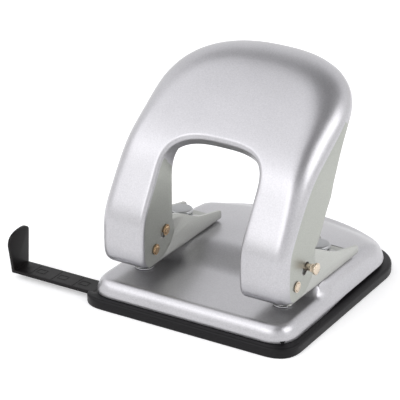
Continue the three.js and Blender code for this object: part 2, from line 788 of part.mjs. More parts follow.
function bumper() {
  const radius = bumperDiameter / 2;
  const lowZ = webTopZ + runningGap;
  return turned([
    [0, lowZ], [radius, lowZ], [radius, bumperTopZ - bumperEdge],
    [radius - bumperEdge / 2, bumperTopZ - bumperEdge / 4], [radius - bumperEdge, bumperTopZ], [0, bumperTopZ],
  ]);
}

// A pin across the frame and the handle with a low domed head at each end
function headedPin(diameter, headDiameter, headHeight) {
  const shoulder = handleHalf + runningGap;
  const end = shoulder + headHeight;
  const pin = turned([
    [0, -end], [diameter / 2, -end], [headDiameter / 2, -shoulder - headHeight / 3],
    [headDiameter / 2, -shoulder], [diameter / 2, -shoulder], [diameter / 2, shoulder],
    [headDiameter / 2, shoulder], [headDiameter / 2, shoulder + headHeight / 3], [diameter / 2, end], [0, end],
  ]);
  return pin.rotateY(Math.PI / 2);
}

// The right punch pin is a longer one: it can be pushed in by its knob to lock the handle down
function lockPin() {
  const shoulder = handleHalf + runningGap;
  const end = shoulder + lockPinProud;
  const radius = drivePinDiameter / 2;
  const knob = lockKnobDiameter / 2;
  const pin = turned([
    [0, -shoulder], [radius, -shoulder], [radius, end - lockKnobLength], [knob, end - lockKnobLength],
    [knob, end - lockKnobLength / 4], [knob - lockKnobLength / 4, end], [0, end],
  ]);
  return pin.rotateY(Math.PI / 2);
}

function frameRivet() {
  const shank = frameRivetDiameter / 2;
  const head = frameRivetHeadDiameter / 2;
  const upperZ = webTopZ + runningGap;
  const lowerZ = deckZ - plateSheet - runningGap;
  return turned([
    [0, lowerZ - frameRivetHeadHeight], [head, lowerZ - frameRivetHeadHeight], [head, lowerZ],
    [shank, lowerZ], [shank, upperZ], [head, upperZ], [head, upperZ + frameRivetHeadHeight / 3],
    [shank, upperZ + frameRivetHeadHeight], [0, upperZ + frameRivetHeadHeight],
  ]);
}

// Materials
const finish = (color, metalness, roughness) => new THREE.MeshStandardMaterial({ color, metalness, roughness });
const silverPaint = finish('#b9b8c2', 0.7, 0.35);
const blackPlastic = finish('#1c1c20', 0, 0.45);
const plainSteel = finish('#b4b6b8', 1, 0.3);
const plated = finish('#b7b3a0', 1, 0.35);
const warmPlated = finish('#c8b98c', 1, 0.3);
const greyRubber = finish('#5c5f63', 0, 0.8);

const punchModel = new THREE.Group();
punchModel.name = 'two_hole_punch';

function add(name, geometry, material, x = 0, y = 0, z = 0) {
  const mesh = new THREE.Mesh(geometry.clone().translate(x, y, z), material);
  mesh.name = name;
  punchModel.add(mesh);
}

add('base_plate', basePlate(), silverPaint);
add('chip_tray', chipTray(), blackPlastic);
add('paper_gauge', paperGauge(), blackPlastic);
add('gauge_clip', gaugeClip(), plainSteel);
add('handle', handleArch(), silverPaint);

const frame = punchFrame();
const dieRing = die();
const bush = guideBush();
const punchRod = punch();
const washer = punchWasher();
const spring = punchSpring();
const stop = bumper();
const rivet = headedPin(pivotDiameter, rivetHeadDiameter, rivetHeadHeight);
const holdDown = frameRivet();
for (const [side, x] of [['left', -holePitch / 2], ['right', holePitch / 2]]) {
  add(`frame_${side}`, frame, plated, x);
  add(`die_${side}`, dieRing, plainSteel, x, punchY);
  add(`guide_bush_${side}`, bush, plainSteel, x, punchY);
  add(`punch_${side}`, punchRod, plainSteel, x, punchY);
  add(`punch_washer_${side}`, washer, plainSteel, x, punchY);
  add(`punch_spring_${side}`, spring, plainSteel, x, punchY);
  add(`bumper_${side}`, stop, greyRubber, x, bumperY);
  add(`pivot_rivet_${side}`, rivet, warmPlated, x, pivotY, pivotZ);
  add(`frame_rivet_front_${side}`, holdDown, plainSteel, x, frameRivetFrontY);
  add(`frame_rivet_rear_${side}`, holdDown, plainSteel, x, frameRivetRearY);
}
add('drive_pin_left', headedPin(drivePinDiameter, pinHeadDiameter, pinHeadHeight), warmPlated,
  -holePitch / 2, punchY, drivePinZ);
add('lock_pin_right', lockPin(), warmPlated, holePitch / 2, punchY, drivePinZ);

export default punchModel;
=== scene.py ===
"""A two-hole desk punch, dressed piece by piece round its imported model. Metres, +Z up, front at -Y."""

import json
import math

import bmesh
import bpy
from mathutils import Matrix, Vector


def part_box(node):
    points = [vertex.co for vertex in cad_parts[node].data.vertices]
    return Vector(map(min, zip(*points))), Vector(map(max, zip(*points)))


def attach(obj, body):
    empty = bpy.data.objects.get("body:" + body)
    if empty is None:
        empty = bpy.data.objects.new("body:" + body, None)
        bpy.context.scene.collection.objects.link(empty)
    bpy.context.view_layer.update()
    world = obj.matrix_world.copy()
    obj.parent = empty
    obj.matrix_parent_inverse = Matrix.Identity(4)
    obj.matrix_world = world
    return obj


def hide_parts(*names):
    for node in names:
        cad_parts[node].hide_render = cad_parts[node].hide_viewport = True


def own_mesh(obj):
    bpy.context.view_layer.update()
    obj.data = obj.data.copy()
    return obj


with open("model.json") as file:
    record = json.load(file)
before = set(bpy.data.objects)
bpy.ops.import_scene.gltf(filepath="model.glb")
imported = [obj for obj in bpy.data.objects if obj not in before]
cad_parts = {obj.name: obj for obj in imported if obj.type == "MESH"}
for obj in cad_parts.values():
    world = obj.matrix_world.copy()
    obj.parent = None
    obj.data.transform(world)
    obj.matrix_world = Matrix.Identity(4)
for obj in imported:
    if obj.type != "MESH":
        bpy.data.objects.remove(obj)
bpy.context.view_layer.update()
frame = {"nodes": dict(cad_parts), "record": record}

# Base plate: one deep-drawn sheet of steel, painted silver. Its front is the low table that the paper lies
# on, and behind the paper stop it rises to the deck that carries the two punch frames. The slope between them
# is long in the middle and at the ends, and steep beside each punch. Its edge rolls down all round.
mm = 0.001
plate_low, plate_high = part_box("base_plate")
sheet = 1.2 * mm
front_half = plate_high.x
rear_half = front_half - 2 * mm
rear_sag = 19 * mm
front_corner = 14 * mm
rear_corner = 13 * mm
table_z = 13.6 * mm
table_round = 5.5 * mm
deck_z = plate_high.z
deck_inset = 0.8 * mm
deck_side_round = 6.5 * mm
deck_rear_round = 14 * mm
deck_root_z = 7 * mm
deck_fall = 8 * mm
deck_fall_y = 26 * mm
paper_stop_y = -13 * mm
stop_run = 6 * mm
stop_middle_run = 26 * mm
stop_middle_half = 24 * mm
stop_side_half = 40 * mm
stop_end_run = 26 * mm
stop_end_half = 49 * mm
edge_fillet = 0.9 * mm
plate_edge_round = 0.25 * mm
corner_blend = 0.15
rear_radius = (rear_half**2 + rear_sag**2) / (2 * rear_sag)
rear_centre_y = plate_high.y - rear_radius


def quadratic(start, corner, end, steps):
    """Points on the curve that rounds a corner, without its first point."""
    shares = [i / steps for i in range(1, steps + 1)]
    return [start * (1 - s) ** 2 + corner * (2 * s * (1 - s)) + end * s**2 for s in shares]


def half_outline(inset, corner_steps=14, side_steps=6, rear_steps=24):
    """The plate's right side, from the front corner to the middle of the rear, and where its side ends."""
    radius = rear_radius - inset
    rear_x = rear_half - inset
    shrink = max(0, inset) / 2
    front_round = front_corner - shrink
    rear_round = rear_corner - shrink
    front = Vector((front_half - inset, plate_low.y + inset))
    rear = Vector((rear_x, rear_centre_y + math.sqrt(radius**2 - rear_x**2)))
    along = (rear - front).normalized()
    corner_angle = math.atan2(rear.y - rear_centre_y, rear_x)
    round_angle = corner_angle + rear_round / radius

    def on_rear(angle):
        return Vector((math.cos(angle) * radius, rear_centre_y + math.sin(angle) * radius))

    points = [Vector((front.x - front_round, front.y))]
    points += quadratic(points[0], front, front + along * front_round, corner_steps)
    side_start = points[-1]
    side_end = rear - along * rear_round
    points += [side_start.lerp(side_end, i / side_steps) for i in range(1, side_steps + 1)]
    side_count = len(points)
    points += quadratic(side_end, rear, on_rear(round_angle), corner_steps)
    step = (math.pi / 2 - round_angle) / rear_steps
    points += [on_rear(round_angle + step * i) for i in range(1, rear_steps + 1)]
    return points, side_count


def full_outline(inset, **steps):
    """The plate's whole outline, a given distance inside its edge."""
    right, _ = half_outline(inset, **steps)
    return right + [Vector((-point.x, point.y)) for point in reversed(right[:-1])]


def distance_to(outline, place):
    """How far a place lies inside a closed outline."""
    least = 1.0
    for start, end in zip(outline, outline[1:] + outline[:1]):
        run = end - start
        share = min(1, max(0, (place - start).dot(run) / run.length_squared))
        least = min(least, (start + run * share - place).length_squared)
    return math.sqrt(least)


def quarter(share):
    """The height of a quarter circle at a share of its run."""
    return math.sqrt(1 - (1 - min(1, max(0, share))) ** 2)


def soft_least(a, b, blend):
    """The smaller of two values, blended where they are nearly equal."""
    return (a + b - math.sqrt((a - b) ** 2 + blend**2)) / 2


def soft_most(a, b, blend):
    return (a + b + math.sqrt((a - b) ** 2 + blend**2)) / 2


def mixed(first, second, share):
    return first + (second - first) * share


def smooth_share(value, low, high):
    """A smooth step from 0 at a low value to 1 at a high one."""
    share = min(1, max(0, (value - low) / (high - low)))
    return share * share * (3 - 2 * share)


def plate_height(place, edge):
    """The plate's height at a place that lies a given distance inside its edge."""
    table = plate_low.z + (table_z - plate_low.z) * quarter(edge / table_round)
    rear = rear_radius - math.hypot(place.x, place.y - rear_centre_y)
    share = soft_least(
        (edge - deck_inset) / deck_side_round, (rear - deck_inset) / deck_rear_round, corner_blend)
    behind = max(0, (place.y - deck_fall_y) / (plate_high.y - deck_fall_y))
    deck = deck_root_z + (deck_z - deck_fall * behind**2 - deck_root_z) * quarter(share)
    raised = soft_most(table, deck, edge_fillet) - edge_fillet**2 / (4 * (deck_z - table_z))
    run = mixed(stop_middle_run, stop_run, smooth_share(abs(place.x), stop_middle_half, stop_side_half))
    run = mixed(run, stop_end_run, smooth_share(abs(place.x), stop_end_half, stop_end_half + table_round))
    return mixed(table, max(table, raised), smooth_share(place.y, paper_stop_y, paper_stop_y + run))


def deselect():
    if bpy.context.mode != "OBJECT":
        bpy.ops.object.mode_set(mode="OBJECT")
    bpy.ops.object.select_all(action="DESELECT")


def pick(piece):
    """Selects one piece alone and makes it the active one."""
    deselect()
    piece.select_set(True)
    bpy.context.view_layer.objects.active = piece


def edit(piece):
    """Opens one piece in edit mode with all of it selected."""
    pick(piece)
    bpy.ops.object.mode_set(mode="EDIT")
    bpy.ops.mesh.select_all(action="SELECT")


def warped_grid(name, columns, rows, place):
    """A grid primitive whose vertex at column i and row j goes to place(i, j)."""
    deselect()
    bpy.ops.mesh.primitive_grid_add(x_subdivisions=columns, y_subdivisions=rows, size=2)
    piece = bpy.context.object
    piece.name = name
    for vertex in piece.data.vertices:
        i = round((vertex.co.x + 1) / 2 * columns)
        j = round((vertex.co.y + 1) / 2 * rows)
        vertex.co = place(i, j)
    return piece


def modify(piece, kind, **settings):
    """Adds one modifier and applies it."""
    pick(piece)
    modifier = piece.modifiers.new(kind, kind)
    for name, value in settings.items():
        setattr(modifier, name, value)
    bpy.ops.object.modifier_apply(modifier=modifier.name)


def carve(piece, *cutters, operation="DIFFERENCE"):
    """Cuts or joins pieces into one, and drops the tools."""
    for cutter in cutters:
        modify(piece, "BOOLEAN", operation=operation, solver="EXACT", object=cutter)
        bpy.data.objects.remove(cutter)


def round_edges(piece, width, segments=2, angle=35):
    modify(piece, "BEVEL", width=width, segments=segments, limit_method="ANGLE",
           angle_limit=math.radians(angle), use_clamp_overlap=True, harden_normals=False)


def post(diameter, low_z, high_z, x, y, sides=64):
    """A round bar along Z."""
    deselect()
    bpy.ops.mesh.primitive_cylinder_add(
        vertices=sides, radius=diameter / 2, depth=high_z - low_z, location=(x, y, (low_z + high_z) / 2))
    return bpy.context.object


bodies = frame["record"]["behaviour"]["bodies"]
body_of_node = {node: body for body, nodes in bodies.items() for node in nodes}


def put_in_place(piece, name, material, nodes, smooth=32):
    """Finishes a piece: its place goes into its mesh, and it stands for its nodes on their body."""
    pick(piece)
    bpy.ops.object.transform_apply(location=True, rotation=True, scale=True)
    bpy.ops.object.shade_smooth_by_angle(angle=math.radians(smooth))
    piece.name = name
    piece.data.name = name
    if material is not None:
        piece.data.materials.clear()
        piece.data.materials.append(material)
    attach(piece, body_of_node[nodes[0]])
    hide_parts(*nodes)


class Level:
    """A socket of a material. Sums, differences and products of levels add Math nodes."""

    def __init__(self, finish, socket):
        self.finish = finish
        self.socket = socket

    def math(self, operation, first, second):
        return self.finish.add("Math", {"operation": operation}, {0: first, 1: second})

    def __add__(self, other):
        return self.math("ADD", self, other)

    def __radd__(self, other):
        return self.math("ADD", other, self)

    def __sub__(self, other):
        return self.math("SUBTRACT", self, other)

    def __mul__(self, other):
        return self.math("MULTIPLY", self, other)

    def __rmul__(self, other):
        return self.math("MULTIPLY", other, self)


class Finish:
    """A material with a Principled shader. Constants go straight to the shader's sockets."""

    def __init__(self, name, **constants):
        self.material = bpy.data.materials.new(name)
        self.material.use_nodes = True
        self.tree = self.material.node_tree
        self.shader = self.tree.nodes["Principled BSDF"]
        for socket, value in constants.items():
            self.shader.inputs[socket.replace("_", " ")].default_value = value

    def add(self, kind, settings=None, sockets=None, out=0):
        node = self.tree.nodes.new("ShaderNode" + kind)
        for name, value in (settings or {}).items():
            setattr(node, name, value)
        for name, value in (sockets or {}).items():
            self.feed(node.inputs[name], value)
        return Level(self, node.outputs[out])

    def feed(self, socket, value):
        if isinstance(value, Level):
            self.tree.links.new(value.socket, socket)
        else:
            socket.default_value = value

    def drive(self, socket, value):
        self.feed(self.shader.inputs[socket], value)

    def noise(self, scale, detail=2, squeeze=None):
        """Cloudy values from 0 to 1 in the piece's own space, drawn out along an axis if squeezed."""
        place = self.add("TexCoord", out="Object")
        if squeeze:
            place = self.add("Mapping", None, {"Vector": place, "Scale": squeeze})
        return self.add("TexNoise", None, {"Vector": place, "Scale": scale, "Detail": detail}, "Fac")

    def mix(self, factor, first, second):
        return self.add("Mix", {"data_type": "RGBA"}, {0: factor, 6: first, 7: second}, 2)

    def ramp(self, value, low, high, at_low, at_high):
        """Goes smoothly from one level to another while a value goes from low to high."""
        return self.add("MapRange", {"interpolation_type": "SMOOTHSTEP"},
                        {0: value, 1: low, 2: high, 3: at_low, 4: at_high})

    def rays(self):
        """Three levels: 1 for what the camera sees directly, in a reflection and through glass."""
        return [self.add("LightPath", out=f"Is {kind} Ray") for kind in ("Camera", "Glossy", "Transmission")]

    def bump(self, height, strength, distance):
        self.drive("Normal", self.add(
            "Bump", None, {"Height": height, "Strength": strength, "Distance": distance}))


full_tone = 255
toe_share, toe_slope = 0.04045, 12.92
curve_offset, curve_power = 0.055, 2.4


def tone(red, green, blue):
    """A colour as it looks on a screen, from 0 to 255, for a colour socket."""
    shares = [value / full_tone for value in (red, green, blue)]
    return (*[s / toe_slope if s <= toe_share else ((s + curve_offset) / (1 + curve_offset)) ** curve_power
              for s in shares], 1)


lacquer_rough = 0.35
flake_scale, flake_detail = 1500, 1
cloud_scale, cloud_detail = 38, 3
ragged_scale, ragged_detail = 420, 3
peel_scale, peel_detail = 900, 2
peel_strength, peel_depth = 0.12, 0.05 * mm
flake_share = 0.65
flake_rough, cloud_rough = 0.1, 0.06
coat_least, coat_spread = 0.12, 0.08
raw_edge = 1.1 * mm
raw_share = 0.9
raw_tone = tone(84, 83, 88)
# A broad darker band above a low edge: painted shade, standing in for the dark base reflected in the feet.
foot_shade_reach = 12 * mm
foot_shade_share = 0.45
foot_shade_tone = tone(118, 118, 124)


def silver(name, dark, light, roughness, low_edge_z=None):
    """Silver metallic lacquer: fine flakes, a soft clear coat and a faint orange peel. Towards a low edge it
    darkens over a broad band, which is painted shade, and at the edge itself the cut sheet shows through."""
    paint = Finish(name, Metallic=0.85, Coat_Roughness=0.12, Specular_IOR_Level=0.5)
    flakes = paint.noise(flake_scale, flake_detail)
    clouds = paint.noise(cloud_scale, cloud_detail)
    colour = paint.mix(flake_share * flakes + (1 - flake_share) * clouds, dark, light)
    if low_edge_z:
        height = paint.add("SeparateXYZ", None, {0: paint.add("TexCoord", out="Object")}, "Z")
        ragged = height + raw_edge * (paint.noise(ragged_scale, ragged_detail) - 0.5)
        # The first, broad band is painted shade; the second, narrow one is the ragged raw edge of the cut
        # sheet.
        for reach, share, below in ((foot_shade_reach, foot_shade_share, foot_shade_tone), (raw_edge, raw_share, raw_tone)):
            bare_and_shade = paint.ramp(ragged, low_edge_z, low_edge_z + reach, share, 0.0)
            colour = paint.mix(bare_and_shade, colour, below)
    paint.drive("Base Color", colour)
    paint.drive("Roughness", roughness + flake_rough * (flakes - 0.5) + cloud_rough * (clouds - 0.5))
    paint.drive("Coat Weight", coat_least + coat_spread * clouds)
    paint.bump(paint.noise(peel_scale, peel_detail), peel_strength, peel_depth)
    return paint.material


silver_tones = tone(162, 161, 164), tone(206, 205, 208)
silver_paint = silver("silver_paint", *silver_tones, lacquer_rough)

side_rows = 10
side_reach = 7 * mm
middle_columns = 20
table_rows = 12
stop_rows = 22
deck_rows = 12
rear_steps = 30
stop_margin = 1.2 * mm
edge_steps = {"corner_steps": 20, "side_steps": 20, "rear_steps": 40}


def crowded(reach):
    """Distances from 0 up to, but without, a reach, crowded together near 0."""
    return [reach * (1 - math.cos(math.pi / 2 * k / side_rows)) for k in range(side_rows)]


insets = crowded(side_reach)
right_shares = [1 - inset / front_half for inset in insets]
right_shares += [right_shares[-1] * (1 - k / middle_columns) for k in range(1, middle_columns)]
plate_columns = [-share for share in right_shares] + [0] + right_shares[::-1]

arch_start_y = 20 * mm
front_reach = 6 * mm
front_rows = [plate_low.y + step for step in crowded(front_reach)]
stop_low_y = paper_stop_y - stop_margin
stop_high_y = paper_stop_y + stop_run + stop_margin


def even(start, end, count):
    """Evenly spaced values from a start up to, but without, an end."""
    return [start + (end - start) * k / count for k in range(count)]


plate_rows = front_rows + even(plate_low.y + front_reach, stop_low_y, table_rows)
plate_rows += even(stop_low_y, stop_high_y, stop_rows)
plate_rows += even(stop_high_y, arch_start_y, deck_rows) + [arch_start_y]
edge_right, side_end = half_outline(0, **edge_steps)
edge_loop = full_outline(0, **edge_steps)
rear_edge = edge_right[side_end - 1:]
rear_lengths = [0]
for before, after in zip(rear_edge, rear_edge[1:]):
    rear_lengths.append(rear_lengths[-1] + (after - before).length)


def width_at(y):
    """Half the plate's width at a place in front of its arched rear."""
    for low, high in zip(edge_right, edge_right[1:]):
        if low.y <= y <= high.y and high.y > low.y:
            return low.x + (high.x - low.x) * (y - low.y) / (high.y - low.y)
    return edge_right[0].x


def on_rear_edge(share):
    """The place on the rear edge at a share from the middle, 0, to the side, 1."""
    reach = rear_lengths[-1] * (1 - abs(share))
    k = max(i for i, length in enumerate(rear_lengths[:-1]) if length <= reach)
    part = (reach - rear_lengths[k]) / (rear_lengths[k + 1] - rear_lengths[k])
    point = rear_edge[k].lerp(rear_edge[k + 1], min(1, part))
    return Vector((math.copysign(point.x, share), point.y))


def plate_place(i, j):
    """Where the plate's grid has its vertex: straight rows in front, then fanned out to the arched rear."""
    share = plate_columns[i]
    row = min(j, len(plate_rows) - 1)
    place = Vector((share * width_at(plate_rows[row]), plate_rows[row]))
    if j > row:
        back = math.sin(math.pi / 2 * (j - row) / rear_steps)
        place = place.lerp(on_rear_edge(share), back)
    return (place.x, place.y, plate_height(place, distance_to(edge_loop, place)))


plate = warped_grid("plate", len(plate_columns) - 1, len(plate_rows) - 1 + rear_steps, plate_place)
modify(plate, "SOLIDIFY", thickness=sheet, offset=-1, use_even_offset=True)
punch_places = {
    side: (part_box("punch_" + side)[0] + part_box("punch_" + side)[1]) / 2 for side in ("left", "right")}
die_body = 8.3 * mm
running_gap = 0.3 * mm
carve(plate, *[post(die_body + 2 * running_gap, 0, plate_high.z, place.x, place.y)
               for place in punch_places.values()])
round_edges(plate, plate_edge_round, angle=50)
put_in_place(plate, "plate", silver_paint, ["base_plate"])

# Chip tray: the black moulded bottom. It clips into the plate's hollow, stands proud of it all round as a
# rounded ledge, and holds the two rails that the paper gauge slides between.
tray_low, tray_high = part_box("chip_tray")
tray_overhang = tray_high.x - front_half
tray_ledge_z = plate_low.z - running_gap
tray_edge_round = 1.4 * mm
tray_foot_round = 0.7 * mm
tray_floor = 1.5 * mm
tray_wall = 1.2 * mm
tray_edge = 0.2 * mm
level_normal = 0.99
cut_over = 2 * mm
gauge_low, gauge_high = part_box("paper_gauge")
gauge_top_z = gauge_low.z + 1.6 * mm
gauge_front_y = -48.2 * mm
gauge_width = 12.7 * mm
gauge_rear_y = gauge_front_y + gauge_width
rail_reach = 46 * mm
hair = 0.01 * mm
mould_scale, mould_detail = 1500, 3
dust_scale, dust_detail = 60, 2
mould_strength, mould_depth = 0.35, 0.04 * mm
mould_rough, dust_rough = 0.1, 0.14


def black(name, dark, light, roughness):
    """Black moulded plastic: satin, with the fine texture of its mould and a little dust in it."""
    plastic = Finish(name, Specular_IOR_Level=0.2)
    grain = plastic.noise(mould_scale, mould_detail)
    clouds = plastic.noise(dust_scale, dust_detail)
    plastic.drive("Base Color", plastic.mix(0.5 * grain + 0.5 * clouds, dark, light))
    plastic.drive("Roughness", roughness + dust_rough * (clouds - 0.5) + mould_rough * (grain - 0.5))
    plastic.bump(grain, mould_strength, mould_depth)
    return plastic.material


black_plastic = black("black_plastic", tone(8, 7, 9), tone(20, 18, 21), 0.42)


def select_edges(piece, wanted):
    """In edit mode, selects the edges whose two ends are wanted."""
    bpy.ops.mesh.select_mode(type="EDGE")
    bpy.ops.mesh.select_all(action="DESELECT")
    mesh = bmesh.from_edit_mesh(piece.data)
    for edge in mesh.edges:
        edge.select = all(wanted(vertex.co) for vertex in edge.verts)
    bmesh.update_edit_mesh(piece.data)


def select_faces(piece, wanted):
    """In edit mode, selects the faces whose middle and normal are wanted."""
    bpy.ops.mesh.select_mode(type="FACE")
    bpy.ops.mesh.select_all(action="DESELECT")
    mesh = bmesh.from_edit_mesh(piece.data)
    for face in mesh.faces:
        face.select = wanted(face.calc_center_median(), face.normal)
    bmesh.update_edit_mesh(piece.data)


def extrude(along):
    bpy.ops.mesh.extrude_region_move(TRANSFORM_OT_translate={"value": along})


def outline_piece(corners, fill="NGON"):
    """An outline through corners, made from a circle primitive and left open in edit mode."""
    deselect()
    bpy.ops.mesh.primitive_circle_add(vertices=len(corners), radius=1, fill_type=fill)
    piece = bpy.context.object
    for vertex, corner in zip(piece.data.vertices, corners):
        vertex.co = corner
    edit(piece)
    return piece


def face_outward():
    """In edit mode, turns every face outward, and leaves edit mode."""
    bpy.ops.mesh.select_all(action="SELECT")
    bpy.ops.mesh.normals_make_consistent(inside=False)
    deselect()


def brick(low, high):
    """A box between two corners."""
    deselect()
    low, high = Vector(low), Vector(high)
    bpy.ops.mesh.primitive_cube_add(size=1, location=(low + high) / 2, scale=high - low)
    return bpy.context.object


tray = outline_piece([(point.x, point.y, 0) for point in full_outline(-tray_overhang)])
bpy.ops.mesh.normals_make_consistent(inside=False)
extrude((0, 0, tray_ledge_z))
select_edges(tray, lambda corner: corner.z > tray_ledge_z - hair)
bpy.ops.mesh.bevel(offset=tray_edge_round, segments=6)
select_edges(tray, lambda corner: corner.z < hair)
bpy.ops.mesh.bevel(offset=tray_foot_round, segments=3)
select_faces(tray, lambda middle, normal: middle.z > tray_ledge_z - hair and normal.z > level_normal)
bpy.ops.mesh.inset(thickness=tray_overhang + sheet + running_gap - tray_edge_round)
extrude((0, 0, tray_high.z - tray_ledge_z))
bpy.ops.mesh.inset(thickness=tray_wall)
extrude((0, 0, tray_floor - tray_high.z))
face_outward()
carve(tray, brick(
    (tray_low.x - cut_over, gauge_front_y - running_gap, gauge_low.z - running_gap),
    (-rail_reach, gauge_rear_y + running_gap, tray_high.z + cut_over)))
rail_wall = 1.4 * mm
rail_sink = tray_floor / 2
rails = [
    (gauge_front_y - running_gap - rail_wall, gauge_top_z + running_gap),
    (gauge_rear_y + running_gap, gauge_top_z + running_gap),
    (gauge_front_y + rail_wall, gauge_low.z - running_gap),
    (gauge_rear_y - 2 * rail_wall, gauge_low.z - running_gap),
]
carve(tray, *[brick((-rail_reach, y, rail_sink), (rail_reach, y + rail_wall, top)) for y, top in rails],
      operation="UNION")
round_edges(tray, tray_edge, angle=40)
put_in_place(tray, "tray", black_plastic, ["chip_tray"])

# Paper gauge: a flat black bar that slides in the tray and ends in an upturned thumb stop, moulded in one.
# Its top is divided by fine raised lines, with a small frame beside each for a paper size.
stop_height = gauge_high.z - gauge_top_z
gauge_thick = gauge_top_z - gauge_low.z
flare_front_y = gauge_low.y
flare_rear_y = gauge_high.y
shoulder_share = 0.7
rear_shoulder_share = 0.84
crown_share = 0.62
rear_shoulder_steps = 12
front_shoulder_steps = 16
gauge_edge = 0.4 * mm
crown_y = flare_front_y + (flare_rear_y - flare_front_y) * crown_share


def side_slab(points, low_x, high_x):
    """An outline in Y and Z, extruded along X."""
    slab = outline_piece([(low_x, y, z) for y, z in points])
    extrude((high_x - low_x, 0, 0))
    face_outward()
    return slab


stop_outline = [
    Vector((gauge_front_y, gauge_low.z)), Vector((gauge_rear_y, gauge_low.z)),
    Vector((gauge_rear_y, gauge_top_z)),
    Vector((flare_rear_y, gauge_top_z + stop_height * rear_shoulder_share)),
]
stop_outline += quadratic(
    stop_outline[-1], Vector((flare_rear_y, gauge_high.z)), Vector((crown_y, gauge_high.z)),
    rear_shoulder_steps)
stop_outline += quadratic(
    stop_outline[-1], Vector((flare_front_y, gauge_high.z)),
    Vector((flare_front_y, gauge_top_z + stop_height * shoulder_share)), front_shoulder_steps)
gauge = brick((gauge_low.x, gauge_front_y, gauge_low.z), (gauge_high.x, gauge_rear_y, gauge_top_z))
carve(gauge, side_slab(stop_outline, gauge_low.x, gauge_low.x + gauge_thick), operation="UNION")
round_edges(gauge, gauge_edge, segments=4, angle=40)
mark_xs = [-95.5 * mm, -82.5 * mm, -69.5 * mm, -56.5 * mm]
mark_line = 0.45 * mm
mark_rise = 0.12 * mm
mark_margin = 1.3 * mm
box_wide = 5.2 * mm
box_deep = 4.2 * mm
box_gap = 1.2 * mm
line_low_z = gauge_top_z - mark_rise


def mark(low_x, high_x, low_y, high_y):
    return brick((low_x, low_y, line_low_z), (high_x, high_y, gauge_top_z + mark_rise))


marks = []
for x in mark_xs:
    marks.append(mark(x, x + mark_line, gauge_front_y + mark_margin, gauge_rear_y - mark_margin))
    box_x = x + mark_line + box_gap
    box_y = gauge_front_y + (gauge_width - box_deep) / 2
    frame_box = mark(box_x, box_x + box_wide, box_y, box_y + box_deep)
    carve(frame_box, brick(
        (box_x + mark_line, box_y + mark_line, line_low_z - mark_rise),
        (box_x + box_wide - mark_line, box_y + box_deep - mark_line, gauge_top_z + 2 * mark_rise)))
    marks.append(frame_box)
carve(gauge, *marks, operation="UNION")
gauge_plastic = black("gauge_plastic", tone(10, 8, 9), tone(25, 22, 23), 0.4)
put_in_place(gauge, "gauge", gauge_plastic, ["paper_gauge"])

# Gauge clip: a small spring-steel strip over the bar inside the tray. It rubs on the bar and holds it where
# it is set.
drawn_scale, drawn_detail = 500, 2
tarnish_scale, tarnish_detail = 120, 3
drawn_share = 0.4
drawn_rough, tarnish_rough = 0.16, 0.1
drawn_strength, drawn_depth = 0.25, 0.02 * mm
clip_edge = 0.2 * mm


def steel(name, dark, light, roughness, draw):
    """Bare or plated steel: metal with fine drawing lines and a little tarnish."""
    metal = Finish(name, Metallic=1.0)
    lines = metal.noise(drawn_scale, drawn_detail, draw)
    clouds = metal.noise(tarnish_scale, tarnish_detail)
    metal.drive("Base Color", metal.mix(drawn_share * lines + (1 - drawn_share) * clouds, dark, light))
    metal.drive("Roughness", roughness + drawn_rough * (lines - 0.5) + tarnish_rough * (clouds - 0.5))
    metal.bump(lines, drawn_strength, drawn_depth)
    return metal.material


plain_steel = steel("plain_steel", tone(150, 150, 152), tone(205, 205, 206), 0.28, (1, 1, 6))
clip = brick(*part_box("gauge_clip"))
round_edges(clip, clip_edge)
put_in_place(clip, "gauge_clip_strip", plain_steel, ["gauge_clip"])

# Punch frames: two channels of bent sheet steel, painted with the rest. Each one's cheeks carry the handle's
# pivot and guide the punch's pin in an upright slot, and its web is riveted to the deck.
frame_edge = 0.28 * mm
flat_degrees = 1
frame_paint = silver("frame_paint", tone(160, 161, 157), tone(198, 199, 194), 0.4)
for side in ("left", "right"):
    cheeks = bpy.data.objects.new("cheeks_" + side, frame["nodes"]["frame_" + side].data.copy())
    bpy.context.scene.collection.objects.link(cheeks)
    edit(cheeks)
    bpy.ops.mesh.remove_doubles(threshold=hair / 10)
    bpy.ops.mesh.dissolve_limited(angle_limit=math.radians(flat_degrees))
    deselect()
    round_edges(cheeks, frame_edge, angle=40)
    put_in_place(cheeks, "cheeks_" + side, frame_paint, ["frame_" + side])

# Frame rivets: two round-headed steel rivets through each frame's web and the deck, set from above.
frame_rivet = 5 * mm
rivet_head = 8 * mm
rivet_rim = 0.2 * mm
web_top_z = 21.3 * mm


def spun(profile, place, along_x=False, steps=56):
    """A turned piece: pairs of radius and height, spun round Z or X at a place."""
    piece = outline_piece([(radius, 0, height) for radius, height in profile], "NOTHING")
    bpy.ops.mesh.spin(steps=steps, angle=2 * math.pi, center=(0, 0, 0), axis=(0, 0, 1))
    bpy.ops.mesh.select_all(action="SELECT")
    bpy.ops.mesh.remove_doubles(threshold=hair / 10)
    bpy.ops.mesh.delete_loose(use_verts=True, use_edges=True, use_faces=False)
    face_outward()
    if along_x:
        piece.rotation_euler = (0, math.pi / 2, 0)
    piece.location = place
    return piece


def turned_box(node):
    """A turned node's lowest and highest corner, its middle, and half its length in X."""
    low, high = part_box(node)
    return low, high, (low + high) / 2, (high.x - low.x) / 2


def dome(radius, low, high, steps=6):
    """A low domed head's profile, from its rim up to the axis."""
    turns = [math.pi / 2 * k / steps for k in range(steps + 1)]
    return [(radius * math.cos(turn), low + (high - low) * math.sin(turn)) for turn in turns]


